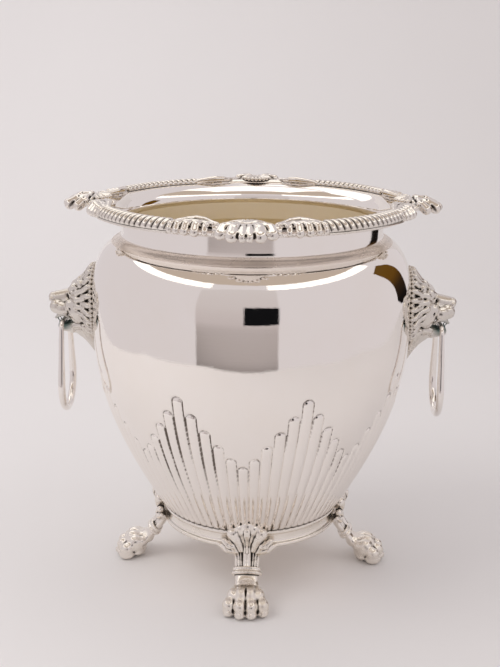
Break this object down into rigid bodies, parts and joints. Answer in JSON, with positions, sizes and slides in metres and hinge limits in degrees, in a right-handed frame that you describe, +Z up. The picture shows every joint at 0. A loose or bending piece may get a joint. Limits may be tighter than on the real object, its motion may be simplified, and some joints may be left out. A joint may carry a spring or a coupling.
{
  "type": "champagne bucket",
  "caption": "Footed wine cooler with a fluted swelling bowl, flared shell-and-gadroon lip, lion masks holding swinging drop rings, and paw feet.",
  "frame": {"origin": "on the bowl's axis at floor level, under the four feet", "axes": "+Z up along the bowl's axis, -Y towards the front, +X towards the right-hand lion mask"},
  "size_m": [0.2756, 0.25, 0.2595],
  "materials": {
    "polished_silver": "bright polished silver plate, lightly worn, gilt inside the bowl",
    "cast_silver": "cast and chased silver plate with dark tarnish in the recesses"
  },
  "bodies": {
    "vessel": {"bowl": "polished_silver", "neck_collar": "polished_silver", "base_ring": "cast_silver", "border_shell_front": "cast_silver", "border_shell_back": "cast_silver", "border_shell_left": "cast_silver", "border_shell_right": "cast_silver", "border_gadroon_front_left": "cast_silver", "border_gadroon_front_right": "cast_silver", "border_gadroon_back_left": "cast_silver", "border_gadroon_back_right": "cast_silver", "lion_mask_left": "cast_silver", "lion_mask_right": "cast_silver", "foot_front": "cast_silver", "foot_back": "cast_silver", "foot_left": "cast_silver", "foot_right": "cast_silver"},
    "left_ring": {"ring_handle_left": "polished_silver"},
    "right_ring": {"ring_handle_right": "polished_silver"}
  },
  "joints": [
    {"name": "left_ring_swing", "type": "hinge", "parent": "vessel", "child": "left_ring", "pos_m": [-0.127, 0, 0.1735], "axis": [0, 1, 0], "range_deg": [-25, 180]},
    {"name": "right_ring_swing", "type": "hinge", "parent": "vessel", "child": "right_ring", "pos_m": [0.127, 0, 0.1735], "axis": [0, -1, 0], "range_deg": [-25, 180]}
  ]
}
